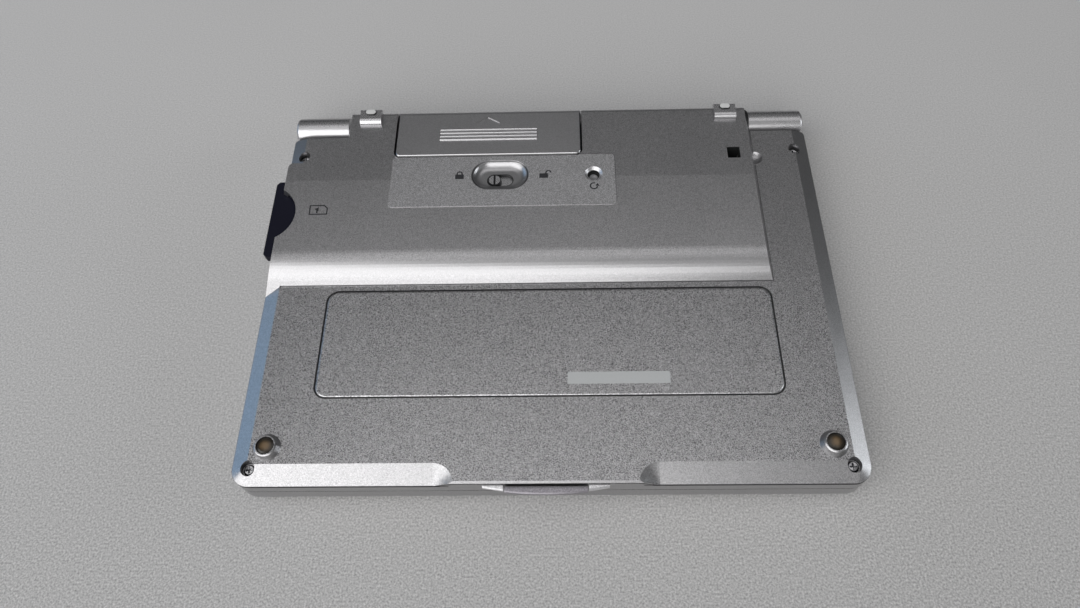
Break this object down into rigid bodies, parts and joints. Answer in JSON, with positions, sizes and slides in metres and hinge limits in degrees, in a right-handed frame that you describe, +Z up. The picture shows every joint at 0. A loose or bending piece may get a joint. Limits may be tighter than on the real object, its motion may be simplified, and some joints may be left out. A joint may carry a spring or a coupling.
{
  "type": "electronic dictionary",
  "caption": "Pocket electronic dictionary folded shut: clamshell case with friction hinge, battery housing, memory card, keyboard and display inside.",
  "frame": {"origin": "centre of the lid's outer face, which rests on the table", "axes": "+X along the hinge, to the right seen from the front edge; +Y from the front edge to the hinge; +Z up from the lid to the underside of the keyboard half"},
  "size_m": [0.1459, 0.1126, 0.0201],
  "materials": {
    "case_silver": "moulded plastic with satin metallic silver paint",
    "trim_silver": "moulded plastic with lighter satin silver paint",
    "door_silver": "moulded plastic with satin metallic silver paint",
    "plate_silver": "smooth satin silver",
    "knob_silver": "satin",
    "button_gray": "satin",
    "frame_gray": "fine texture",
    "window_clear": "clear",
    "lcd_green": "smooth",
    "carrier_white": "smooth",
    "board_green": "solder mask",
    "chip_black": "moulded",
    "steel": "bright",
    "rubber_black": "smooth",
    "rubber_sheet": "translucent gray",
    "pad_brown": "smooth",
    "pad_light": "smooth",
    "cell_wrap": null,
    "card_black": "fine texture",
    "key_light": "satin",
    "cable_black": "smooth",
    "speaker_dark": "matte"
  },
  "bodies": {
    "lid": {"lid_shell": "case_silver", "lid_bezel": "frame_gray", "display_window": "window_clear", "lcd_panel": "lcd_green", "lcd_carrier": "carrier_white", "lcd_board": "board_green", "lid_screws": "steel", "lid_bumpers": "rubber_black", "hinge_barrel_left": "trim_silver", "hinge_barrel_right": "trim_silver", "hinge_unit_left": "steel", "hinge_unit_right": "steel", "display_cable": "cable_black"},
    "base": {"bottom_cover": "case_silver", "keyboard_deck": "case_silver", "label_plate": "plate_silver", "cell_left": "cell_wrap", "cell_right": "cell_wrap", "contact_spring": "steel", "contact_plate": "steel", "main_board": "board_green", "board_chips": "chip_black", "card_socket": "steel", "key_board": "board_green", "keypad_sheet": "rubber_sheet", "speaker": "speaker_dark", "foot_pad_left": "pad_brown", "foot_pad_right": "pad_brown", "rear_foot_left": "trim_silver", "rear_foot_right": "trim_silver", "rear_pad_left": "pad_light", "rear_pad_right": "pad_light", "case_screws": "steel", "hinge_shaft_left": "steel", "hinge_shaft_right": "steel", "hinge_holder_left": "steel", "hinge_holder_right": "steel"},
    "battery_cover": {"battery_cover": "door_silver"},
    "battery_lock": {"battery_lock": "knob_silver"},
    "reset_button": {"reset_button": "button_gray"},
    "memory_card": {"memory_card": "card_black"},
    "keys_function": {"keys_function": "key_light"},
    "keys_index": {"keys_index": "key_light"},
    "keys_number": {"keys_number": "key_light"},
    "keys_upper": {"keys_upper": "key_light"},
    "keys_middle": {"keys_middle": "key_light"},
    "keys_lower": {"keys_lower": "key_light"},
    "keys_bottom": {"keys_bottom": "key_light"},
    "keys_space": {"keys_space": "key_light"},
    "power_key": {"power_key": "key_light"},
    "cursor_ring": {"cursor_ring": "key_light"},
    "enter_key": {"enter_key": "key_light"}
  },
  "joints": [
    {"name": "lid_hinge", "type": "hinge", "parent": "lid", "child": "base", "pos_m": [0, 0.05565, 0.0086], "axis": [-1, 0, 0], "range_deg": [0, 150]},
    {"name": "battery_cover_slide", "type": "slide", "parent": "base", "child": "battery_cover", "axis": [0, 1, 0], "range_m": [0, 0.013]},
    {"name": "battery_lock_slide", "type": "slide", "parent": "base", "child": "battery_lock", "axis": [1, 0, 0], "range_m": [0, 0.003]},
    {"name": "reset_press", "type": "slide", "parent": "base", "child": "reset_button", "axis": [0, 0, -1], "range_m": [0, 0.0005], "stiffness_N_per_m": 200, "springref_m": -0.0005},
    {"name": "card_slide", "type": "slide", "parent": "base", "child": "memory_card", "axis": [-1, 0, 0], "range_m": [0, 0.022]},
    {"name": "keys_function_press", "type": "slide", "parent": "base", "child": "keys_function", "axis": [0, 0, 1], "range_m": [0, 0.0008], "stiffness_N_per_m": 300, "springref_m": -0.0005},
    {"name": "keys_index_press", "type": "slide", "parent": "base", "child": "keys_index", "axis": [0, 0, 1], "range_m": [0, 0.0008], "stiffness_N_per_m": 300, "springref_m": -0.0005},
    {"name": "keys_number_press", "type": "slide", "parent": "base", "child": "keys_number", "axis": [0, 0, 1], "range_m": [0, 0.0008], "stiffness_N_per_m": 300, "springref_m": -0.0005},
    {"name": "keys_upper_press", "type": "slide", "parent": "base", "child": "keys_upper", "axis": [0, 0, 1], "range_m": [0, 0.0008], "stiffness_N_per_m": 300, "springref_m": -0.0005},
    {"name": "keys_middle_press", "type": "slide", "parent": "base", "child": "keys_middle", "axis": [0, 0, 1], "range_m": [0, 0.0008], "stiffness_N_per_m": 300, "springref_m": -0.0005},
    {"name": "keys_lower_press", "type": "slide", "parent": "base", "child": "keys_lower", "axis": [0, 0, 1], "range_m": [0, 0.0008], "stiffness_N_per_m": 300, "springref_m": -0.0005},
    {"name": "keys_bottom_press", "type": "slide", "parent": "base", "child": "keys_bottom", "axis": [0, 0, 1], "range_m": [0, 0.0008], "stiffness_N_per_m": 300, "springref_m": -0.0005},
    {"name": "keys_space_press", "type": "slide", "parent": "base", "child": "keys_space", "axis": [0, 0, 1], "range_m": [0, 0.0008], "stiffness_N_per_m": 300, "springref_m": -0.0005},
    {"name": "power_press", "type": "slide", "parent": "base", "child": "power_key", "axis": [0, 0, 1], "range_m": [0, 0.0008], "stiffness_N_per_m": 300, "springref_m": -0.0005},
    {"name": "cursor_press", "type": "slide", "parent": "base", "child": "cursor_ring", "axis": [0, 0, 1], "range_m": [0, 0.0008], "stiffness_N_per_m": 300, "springref_m": -0.0005},
    {"name": "enter_press", "type": "slide", "parent": "base", "child": "enter_key", "axis": [0, 0, 1], "range_m": [0, 0.0008], "stiffness_N_per_m": 300, "springref_m": -0.0005}
  ]
}
